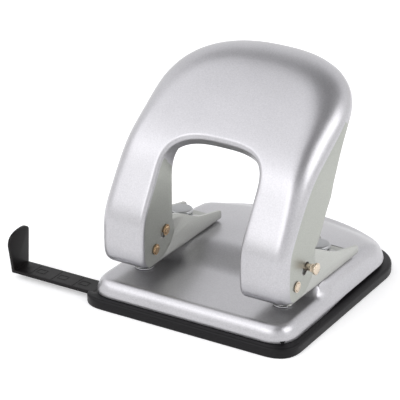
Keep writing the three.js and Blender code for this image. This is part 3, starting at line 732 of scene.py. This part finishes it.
rivet_steel = steel("rivet_steel", tone(140, 140, 140), tone(190, 190, 188), 0.34, (1, 1, 1))
for side in ("left", "right"):
    for row in ("front", "rear"):
        node = f"frame_rivet_{row}_{side}"
        low, high, middle, _ = turned_box(node)
        lower_z = deck_z - sheet - running_gap
        upper_z = web_top_z + running_gap
        profile = [(0, low.z), (rivet_head / 2, low.z), (rivet_head / 2, lower_z), (frame_rivet / 2, lower_z),
                   (frame_rivet / 2, upper_z), (rivet_head / 2, upper_z)]
        profile += dome(rivet_head / 2, upper_z + rivet_rim, high.z)
        rivet = spun(profile, (middle.x, middle.y, 0))
        put_in_place(rivet, f"rivet_{row}_{side}", rivet_steel, [node])

# Bumpers: a turned grey stud in each frame that the handle's flanges come down on. Fine ribs run round it,
# and its top corner is rounded.
bumper_round = 1.2 * mm
bumper_rib = 1.3 * mm
bumper_groove = 0.16 * mm
bumper_ribs = 6
bumper_round_steps = 6
bumper_finish = steel("bumper_zinc", tone(150, 151, 152), tone(194, 195, 196), 0.42, (1, 1, 1))
for side in ("left", "right"):
    low, high, middle, radius = turned_box("bumper_" + side)
    waist = radius - bumper_groove
    profile = [(0, low.z), (waist, low.z)]
    first_rib = high.z - bumper_round - bumper_ribs * bumper_rib
    for k in range(bumper_ribs):
        at = first_rib + k * bumper_rib
        profile += [(waist, at), (radius, at + bumper_groove), (radius, at + bumper_rib - 2 * bumper_groove),
                    (waist, at + bumper_rib - bumper_groove)]
    profile += [(radius - bumper_round * (1 - math.cos(turn)), high.z - bumper_round * (1 - math.sin(turn)))
                for turn in even(0, math.pi / 2, bumper_round_steps)]
    profile += [(radius - bumper_round, high.z), (0, high.z)]
    stud = spun(profile, (middle.x, middle.y, 0))
    put_in_place(stud, "stud_" + side, bumper_finish, ["bumper_" + side])

# Dies: hardened steel rings let into the table, whose flanges stand a little proud of it. The punch passes
# through the bore.
die_steel = steel("die_steel", tone(200, 200, 202), tone(240, 240, 242), 0.18, (1, 1, 6))
die_bore = 6.3 * mm
ring_edge = 0.18 * mm


def flanged_ring(node, name, bore, body, flange_z, material):
    """A turned tube with a flange at its top."""
    low, high, middle, flange = turned_box(node)
    ring = spun([(bore / 2, low.z), (body / 2, low.z), (body / 2, flange_z),
                 (flange, flange_z), (flange, high.z), (bore / 2, high.z)], (middle.x, middle.y, 0))
    round_edges(ring, ring_edge, angle=50)
    put_in_place(ring, name, material, [node])


for side in ("left", "right"):
    flanged_ring("die_" + side, "die_ring_" + side, die_bore, die_body, table_z + running_gap, die_steel)

# Guide bushes: flanged steel tubes in each frame's web. They lead the punch down and strip the paper off it.
bush_bore = 6.2 * mm
bush_wide = 9.2 * mm
for side in ("left", "right"):
    flanged_ring("guide_bush_" + side, "bush_" + side, bush_bore, bush_wide,
                 web_top_z + running_gap, plain_steel)

# Punches: ground steel rods with a notched tip, so that they shear the paper little by little, and a cross
# hole for the pin. The spring's washer sits below the pin.
pin_place = (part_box("drive_pin_left")[0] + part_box("drive_pin_left")[1]) / 2
pin_wide = 3.6 * mm
pin_play = 0.2 * mm
notch_depth = 1.4 * mm
punch_edge = 0.15 * mm
punch_steel = steel("punch_steel", tone(165, 166, 168), tone(215, 215, 216), 0.2, (6, 6, 1))
for side in ("left", "right"):
    low, high, middle, radius = turned_box("punch_" + side)
    rod = spun([(0, low.z), (radius, low.z), (radius, high.z), (0, high.z)], (middle.x, middle.y, 0))
    reach = 2 * radius
    notch_foot = low.z - notch_depth
    notch = [(middle.y - reach, notch_foot), (middle.y + reach, notch_foot), (middle.y, low.z + notch_depth)]
    carve(rod, side_slab(notch, middle.x - reach, middle.x + reach))
    cross_hole = post(pin_wide + pin_play, -reach, reach, 0, 0, sides=32)
    cross_hole.rotation_euler = (0, math.pi / 2, 0)
    cross_hole.location = (middle.x, middle.y, pin_place.z)
    carve(rod, cross_hole)
    round_edges(rod, punch_edge, angle=50)
    put_in_place(rod, "rod_" + side, punch_steel, ["punch_" + side])
    low, high, middle, rim = turned_box("punch_washer_" + side)
    bore = radius + running_gap
    washer = spun([(bore, low.z), (rim, low.z), (rim, high.z), (bore, high.z)], (middle.x, middle.y, 0))
    round_edges(washer, punch_edge, angle=50)
    put_in_place(washer, "washer_" + side, plain_steel, ["punch_washer_" + side])

# Return springs: round wire wound from the bush's flange up to the washer. Each lifts its punch again, and
# closes up as the punch goes down.
wire = 0.6 * mm
spring_turns = 3.5
wire_sides = 12
turn_steps = 28
coil_steps = round(turn_steps * spring_turns)
spring_steel = steel("spring_steel", tone(120, 122, 124), tone(185, 186, 188), 0.25, (1, 1, 8))
for side in ("left", "right"):
    low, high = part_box("punch_spring_" + side)
    place = punch_places[side]
    coil_radius = (high.y - low.y) / 2 - wire / 2
    deselect()
    bpy.ops.mesh.primitive_circle_add(vertices=wire_sides, radius=wire / 2, fill_type="NOTHING")
    coil = bpy.context.object
    for vertex in coil.data.vertices:
        vertex.co = (coil_radius + vertex.co.x, 0, vertex.co.y)
    modify(coil, "SCREW", angle=2 * math.pi * spring_turns, steps=coil_steps, render_steps=coil_steps,
           screw_offset=high.z - low.z - wire, use_merge_vertices=False)
    edit(coil)
    bpy.ops.mesh.fill_holes(sides=0)
    face_outward()
    coil.location = (place.x, place.y, low.z + wire / 2)
    put_in_place(coil, "coil_" + side, spring_steel, ["punch_spring_" + side])
    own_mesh(coil)

# Handle: one arch of pressed steel sheet, painted silver, with flanges turned back all round. Its face bends
# back towards the top. The two feet hook over the frames, and slots in their flanges drive the punches. The
# outer flanges' sideways faces take a darker, duller copy of the face's paint, as painted shade; the inside
# has a duller coat. The face's paint darkens towards the feet, also painted shade.
handle_sheet = 1.2 * mm
arm_low, arm_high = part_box("frame_right")
frame_half = (arm_high.x - arm_low.x) / 2
handle_half = frame_half + running_gap + handle_sheet
pitch_half = punch_places["right"].x
arm_outer = pitch_half + handle_half
arm_inner = pitch_half - handle_half
face_y = -46.5 * mm
foot_z = 22.8 * mm
chin_radius = 9 * mm
chin_degrees = 52
shank_length = 12 * mm
shank_radius = 22 * mm
lean_degrees = 59
lean_length = 25.8 * mm
palm_radius = 55 * mm
palm_start_degrees = 37
palm_degrees = 32
palm_length = 38 * mm
crown_degrees = 20
crown_length = 28.8 * mm
window_top = 75.5 * mm
window_round = 22 * mm
shoulder = 46 * mm
outer_foot_fillet = 6.5 * mm
outer_top_fillet = 12 * mm
crown_spread = 1.8
crown_spread_starts = 92 * mm
crown_spread_ends = 132 * mm
inner_fillet = 2.6 * mm
knee_reach = 34 * mm
face_easing = 5 * mm
easing_steps = 4
lobe_fillet = 6 * mm
outer_flange = 29.5 * mm
top_flange = 13 * mm
flange_narrows = 70 * mm
flange_narrow = 112 * mm
flange_degrees = 31
flange_turned = 82.8 * mm
inner_flange = 6.4 * mm
inner_flange_rear_y = -19 * mm
foot_flange = 31 * mm
lobe_y = -32 * mm
lobe_rear_y = -16.5 * mm
lobe_top_z = 44 * mm
pivot_y = -34.4 * mm
pivot_z = 30.1 * mm
pivot_wide = 3.2 * mm
slot_play = 0.45 * mm
arm_stations = 10
arch_stations = 12
straight_share = 0.3
window_power = 0.68
crown_power = 0.86
edge_probe = 0.5
least_crossing = 0.4
spread_shares = (0.2, 0.5)
face_path = [
    (chin_radius * math.radians(chin_degrees), chin_degrees),
    (shank_length, 0),
    (shank_radius * math.radians(90 - lean_degrees), 90 - lean_degrees),
    (lean_length, 0),
    (palm_radius * math.radians(lean_degrees - palm_start_degrees), lean_degrees - palm_start_degrees),
    (palm_length, palm_start_degrees - palm_degrees),
    (crown_length, palm_degrees - crown_degrees),
]
handle_reach = sum(length for length, _ in face_path)
inward_start = face_path[0][0]


def inward_angle(reach):
    """The flanges lean back more slowly than the face bends."""
    share = min(1, max(0, (reach - inward_start) / (flange_turned - inward_start)))
    return -math.radians(90 - flange_degrees) * share


def face_point(reach):
    """The place on the face at a distance along its path."""
    angle = 90 + chin_degrees
    y = face_y + chin_radius * (1 - math.cos(math.radians(chin_degrees)))
    z = foot_z
    left = min(reach, handle_reach)
    for length, turn in face_path:
        part = min(left, length)
        turned_by = turn * part / length
        middle = math.radians(angle - turned_by / 2)
        half = math.radians(turned_by / 2)
        chord = part * math.sin(half) / half if half else part
        y += chord * math.cos(middle)
        z += chord * math.sin(middle)
        angle -= turned_by
        left -= part
    return y, z


def eased_face(reach):
    """The face with its bends eased: the mean of the path a little before and after each place."""
    span = min(face_easing, reach / 2, (handle_reach - reach) / 2)
    places = [face_point(reach + span * k / easing_steps) for k in range(-easing_steps, easing_steps + 1)]
    return sum(y for y, _ in places) / len(places), sum(z for _, z in places) / len(places)


def rounded_corner(half_x, start, rise, share, power):
    """A place on the quarter round that leads from a straight edge over to the arch's middle."""
    turn = math.pi / 2 * share
    return Vector((-half_x * max(0, math.cos(turn)) ** power, start + rise * math.sin(turn) ** power))


def arch_edges(station):
    """The inner and outer edge of the arch's left half at one station, as X and reach."""
    window_start = window_top - window_round
    shoulder_start = handle_reach - shoulder
    if station <= arm_stations:
        reach = window_start * max(0, station) / arm_stations
        return Vector((-arm_inner, reach)), Vector((-arm_outer, reach))
    share = min(1, (station - arm_stations) / arch_stations)
    rim_share = (share - straight_share) / (1 - straight_share)
    inner = rounded_corner(arm_inner, window_start, window_round, share, window_power)
    if rim_share <= 0:
        return inner, Vector((-arm_outer, mixed(window_start, shoulder_start, share / straight_share)))
    return inner, rounded_corner(arm_outer, shoulder_start, shoulder, rim_share, crown_power)


def edge_stretch(station, edge, across):
    """How much a slanted section stretches where it crosses an edge."""
    along = (arch_edges(station + edge_probe)[edge] - arch_edges(station - edge_probe)[edge]).normalized()
    return 1 / max(least_crossing, abs(along.x * across.y - along.y * across.x))


flange_steps = 6
fillet_steps = 9
face_steps = 12


def pressed_section(width, stretches, fillets, depths):
    """The face with its two fillets and flanges, as offsets across the arch and depths behind the face."""
    inner_middle = fillets[0] * stretches[0]
    outer_middle = width - fillets[1] * stretches[1]
    turns = [math.pi / 2 * k / fillet_steps for k in range(fillet_steps + 1)]
    points = [(0, mixed(depths[0], fillets[0], k / flange_steps)) for k in range(flange_steps)]
    points += [(inner_middle * (1 - math.cos(turn)), fillets[0] * (1 - math.sin(turn))) for turn in turns]
    points += [(mixed(inner_middle, outer_middle, k / face_steps), 0) for k in range(1, face_steps)]
    points += [(outer_middle + (width - outer_middle) * math.cos(turn), fillets[1] * (1 - math.sin(turn)))
               for turn in reversed(turns)]
    points += [(width, mixed(fillets[1], depths[1], k / flange_steps)) for k in range(1, flange_steps + 1)]
    return points


def handle_ring(station):
    """The points of the left half's section at one station, from its inner flange round to its outer one."""
    inner, outer = arch_edges(station)
    across = outer - inner
    width = across.length
    across.normalize()
    stretches = [edge_stretch(station, edge, across) for edge in (0, 1)]
    rise = min(1, station / arm_stations)
    crown = smooth_share(outer.y, knee_reach, handle_reach - shoulder)
    fillets = [inner_fillet, mixed(outer_foot_fillet, outer_top_fillet, crown)]
    stretches[1] *= mixed(1, crown_spread, smooth_share(outer.y, crown_spread_starts, crown_spread_ends))
    upright = (inner_flange_rear_y - face_point(inner.y)[0]) / math.cos(inward_angle(inner.y))
    spread = smooth_share(rise, *spread_shares)
    top_share = smooth_share(outer.y, flange_narrows, flange_narrow)
    depths = [
        max(inner_flange, mixed(foot_flange, upright, spread)),
        mixed(mixed(foot_flange, outer_flange, spread), top_flange, top_share),
    ]
    ring = []
    for offset, depth in pressed_section(width, stretches, fillets, depths):
        place = inner + across * offset
        y, z = eased_face(place.y)
        inward = inward_angle(place.y)
        ring.append((place.x, y + depth * math.cos(inward), z + depth * math.sin(inward)))
    return ring


arm_rows = 50
arch_rows = 72
stations = even(0, arm_stations, arm_rows) + even(arm_stations, arm_stations + arch_stations, arch_rows)
rings = [handle_ring(station) for station in stations + [arm_stations + arch_stations]]
rings += [[(-x, y, z) for x, y, z in ring] for ring in reversed(rings[:-1])]
arch = warped_grid("handle_arch", len(rings[0]) - 1, len(rings) - 1, lambda i, j: rings[j][i])
edit(arch)
bpy.ops.mesh.flip_normals()
deselect()
sideways_normal = 0.985
inner_paint = silver("inner_paint", tone(160, 162, 156), tone(196, 198, 190), 0.42)
# A darker, greener copy of the face's paint for the outer flanges: painted shade on their sideways faces.
shaded_flange_paint = silver("shaded_flange_paint", tone(146, 148, 142), tone(186, 188, 181), 0.4)
handle_paint = silver("handle_paint", *silver_tones, lacquer_rough, foot_z)
for paint in (handle_paint, inner_paint, shaded_flange_paint):
    arch.data.materials.append(paint)
modify(arch, "SOLIDIFY", thickness=handle_sheet, offset=-1, use_even_offset=True, material_offset=1)
# Faces of the outer skin that point sideways take the darker copy of the paint: painted shade.
for face in arch.data.polygons:
    if face.material_index == 0 and abs(face.normal.x) > sideways_normal:
        face.material_index = 2


def curve_points(start, first, second, end, steps):
    """Points on a curve with two handles, without its first point."""
    shares = [i / steps for i in range(1, steps + 1)]
    return [start * (1 - s) ** 3 + first * (3 * s * (1 - s) ** 2) + second * (3 * s**2 * (1 - s)) + end * s**3
            for s in shares]


def round_slot(start, end, width, steps=14):
    """The outline of a slot with round ends between two points."""
    along = (end - start).normalized()
    angle = math.atan2(along.y, along.x)
    outline = []
    for middle, first in ((end, angle - math.pi / 2), (start, angle + math.pi / 2)):
        for k in range(steps + 1):
            turn = first + math.pi * k / steps
            outline.append(middle + Vector((math.cos(turn), math.sin(turn))) * (width / 2))
    return outline


lobe_steps = 16
pivot_play = 0.3 * mm
handle_edge = 0.22 * mm
below = foot_z - cut_over
behind = face_y + chin_radius + foot_flange
lobe_end_y = inner_flange_rear_y + inner_fillet
lobe = [Vector((lobe_y, below)), Vector((lobe_y, foot_z))]
lobe += curve_points(
    lobe[-1], Vector((lobe_y + lobe_fillet, foot_z)), Vector((lobe_end_y, pivot_z - handle_sheet)),
    Vector((lobe_end_y, pin_place.z)), lobe_steps)
lobe += [Vector((lobe_rear_y, lobe_top_z)), Vector((behind, lobe_top_z)), Vector((behind, below))]
to_pin = Vector((pin_place.y - pivot_y, pin_place.z - pivot_z))
towards = to_pin.normalized()
pivot = Vector((pivot_y, pivot_z))
drive_slot = round_slot(
    pivot + towards * (to_pin.x - slot_play / 2), pivot + towards * (to_pin.length + slot_play / 2),
    pin_wide + 2 * slot_play)
pivot_hole = round_slot(pivot, pivot + Vector((0, hair)), pivot_wide + pivot_play)
cut_reach = arm_outer + cut_over
carve(arch, *[side_slab(outline, -cut_reach, cut_reach) for outline in (lobe, drive_slot, pivot_hole)])
round_edges(arch, handle_edge, angle=45)
put_in_place(arch, "handle_arch", None, ["handle"], smooth=40)

# Pivot rivets and the left drive pin: plated pins with low round heads, across frame and handle. The right
# drive pin is longer, grooved for the fingers and ends in a knob: pushed in, it locks the handle down.
pivot_head = 5.6 * mm
drive_head = 5.8 * mm
button_share = 0.72
collar_groove = 0.22 * mm
collar_rise = 1.4 * collar_groove
brass = steel("warm_brass", tone(158, 130, 98), tone(216, 188, 152), 0.26, (8, 1, 1))
champagne = steel("champagne", tone(176, 160, 140), tone(232, 218, 200), 0.26, (8, 1, 1))


def headed_pin(node, name, width, head, material):
    """A pin across a leg, with a collar and a round button at each end."""
    _, _, middle, end = turned_box(node)
    shoulder_x = handle_half + running_gap
    button = head / 2 * button_share
    collar_x = shoulder_x + collar_rise
    right = [(head / 2, collar_x), (button + collar_groove, collar_x), (button, collar_x - collar_groove)]
    right += dome(button, collar_x, end)
    profile = [(r, -h) for r, h in reversed(right)]
    profile += [(head / 2, -shoulder_x), (width / 2, -shoulder_x)]
    profile += [(width / 2, shoulder_x), (head / 2, shoulder_x)]
    profile += right
    pin = spun(profile, middle, along_x=True)
    put_in_place(pin, name, material, [node])


headed_pin("pivot_rivet_left", "pivot_left", pivot_wide, pivot_head, brass)
headed_pin("pivot_rivet_right", "pivot_right", pivot_wide, pivot_head, champagne)
headed_pin("drive_pin_left", "drive_pin", pin_wide, drive_head, brass)

low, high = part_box("lock_pin_right")
middle = Vector((pitch_half, pin_place.y, pin_place.z))
pin_radius = pin_wide / 2
knob_radius = 3 * mm
knob_length = 1.7 * mm
knob_dome_share = 0.45
lock_pin_edge = 0.12 * mm
pin_start = low.x - pitch_half
pin_end = high.x - pitch_half
grip_radius = 2.15 * mm
groove_depth = 0.25 * mm
lock_travel = 4 * mm
grip_start = frame_half + lock_travel + running_gap
groove_start = grip_start + 0.35 * mm
groove_pitch = 0.75 * mm
groove_slope_end, groove_floor_end, groove_end = 0.12 * mm, 0.33 * mm, 0.45 * mm
groove_count = int((pin_end - knob_length - groove_start) / groove_pitch)
profile = [(0, pin_start), (pin_radius, pin_start), (pin_radius, grip_start), (grip_radius, grip_start)]
for k in range(groove_count):
    at = groove_start + k * groove_pitch
    profile += [(grip_radius, at), (grip_radius - groove_depth, at + groove_slope_end),
                (grip_radius - groove_depth, at + groove_floor_end), (grip_radius, at + groove_end)]
profile += [(grip_radius, pin_end - knob_length), (knob_radius, pin_end - knob_length)]
profile += dome(knob_radius, pin_end - knob_length * knob_dome_share, pin_end)
lock_pin = spun(profile, middle, along_x=True)
round_edges(lock_pin, lock_pin_edge, angle=60)
put_in_place(lock_pin, "lock_pin", champagne, ["lock_pin_right"])

# Floor, light and camera: a white table, two broad lamps, and a room with pale walls, a dim ceiling and one
# soft box overhead. The camera sees the floor and the room as plain white.
floor_size = 8
glow_strength = 0.4
deselect()
bpy.ops.mesh.primitive_plane_add(size=floor_size, location=(0, 0, 0))
floor = bpy.context.object
floor.name = "floor"
floor_finish = Finish("floor_white", Roughness=0.9, Specular_IOR_Level=0.1)
floor_finish.drive("Base Color", floor_finish.mix(
    floor_finish.noise(3, 2), tone(232, 232, 233), tone(236, 236, 236)))
camera_ray, glossy_ray, glass_ray = floor_finish.rays()
floor_seen = camera_ray + glossy_ray + glass_ray
floor_dark = floor_finish.add("Emission", None, {"Strength": 0.0})
floor_glow = floor_finish.add("Emission", None, {"Color": (1, 1, 1, 1), "Strength": glow_strength})
floor_glow = floor_finish.add("MixShader", None, {0: floor_seen, 1: floor_dark, 2: floor_glow})
floor_matt = Level(floor_finish, floor_finish.shader.outputs[0])
floor_finish.feed(
    floor_finish.tree.nodes["Material Output"].inputs["Surface"],
    floor_finish.add("AddShader", None, {0: floor_matt, 1: floor_glow}))
floor.data.materials.append(floor_finish.material)

target = Vector((-22.5, 0, 44.6)) * mm
azimuth = math.radians(31.4)
elevation = math.radians(24.5)
distance = 1194.6 * mm
back = Vector((
    math.sin(azimuth) * math.cos(elevation), -math.cos(azimuth) * math.cos(elevation), math.sin(elevation)))
lamps = [  # name, place and size in metres, power in watts
    ("key", Vector((-0.25, -1.2, 0.85)), 0.7, 2.6),
    ("right", Vector((1.0, 0.2, 0.85)), 0.8, 4.5),
]
for name, place, size, power in lamps:
    lamp = bpy.data.lights.new(name, "AREA")
    lamp.size = size
    lamp.energy = power
    holder = bpy.data.objects.new(name, lamp)
    holder.location = place
    holder.rotation_mode = "QUATERNION"
    holder.rotation_quaternion = (target - place).to_track_quat("-Z", "Y")
    bpy.context.scene.collection.objects.link(holder)

world = bpy.data.worlds.new("studio")
bpy.context.scene.world = world
world.use_nodes = True


class Room(Finish):
    """The world's nodes, with the same way of adding them."""

    def __init__(self, tree):
        self.tree = tree


room = Room(world.node_tree)
backdrop_low, backdrop_high = 0.1, 0.4
box_towards = (-0.45, -0.35, 0.82)
box_rim, box_core, box_strength = 0.82, 0.95, 1.45
walls_end, ceiling_start = 0.55, 0.88
wall_strength, ceiling_strength = 1.06, 0.18
ray = room.add("TexCoord", out="Generated")
height = room.add("SeparateXYZ", None, {0: ray}, "Z")
backdrop = room.ramp(height, backdrop_low, backdrop_high, 1.0, 0.0)
to_box = room.add("VectorMath", {"operation": "DOT_PRODUCT"}, {0: ray, 1: box_towards}, "Value")
soft_box = room.ramp(to_box, box_rim, box_core, 0.0, box_strength)
walls = room.ramp(height, walls_end, ceiling_start, wall_strength, ceiling_strength)
camera_ray, glossy_ray, glass_ray = room.rays()
seen = camera_ray + (glossy_ray + glass_ray) * backdrop
grey_room = room.add("Background", None, {"Color": tone(253, 253, 255), "Strength": walls + soft_box})
white_room = room.add("Background", None, {"Color": (1, 1, 1, 1), "Strength": 1.0})
room.feed(room.tree.nodes["World Output"].inputs["Surface"],
          room.add("MixShader", None, {0: seen, 1: grey_room, 2: white_room}))

camera = bpy.data.cameras.new("camera")
camera.lens = 213.9
camera.sensor_width = 36
camera.clip_end = 20
eye = bpy.data.objects.new("camera", camera)
eye.location = target + back * distance
eye.rotation_mode = "QUATERNION"
eye.rotation_quaternion = (-back).to_track_quat("-Z", "Y")
bpy.context.scene.collection.objects.link(eye)
bpy.context.scene.camera = eye
bpy.context.scene.view_settings.view_transform = "Standard"
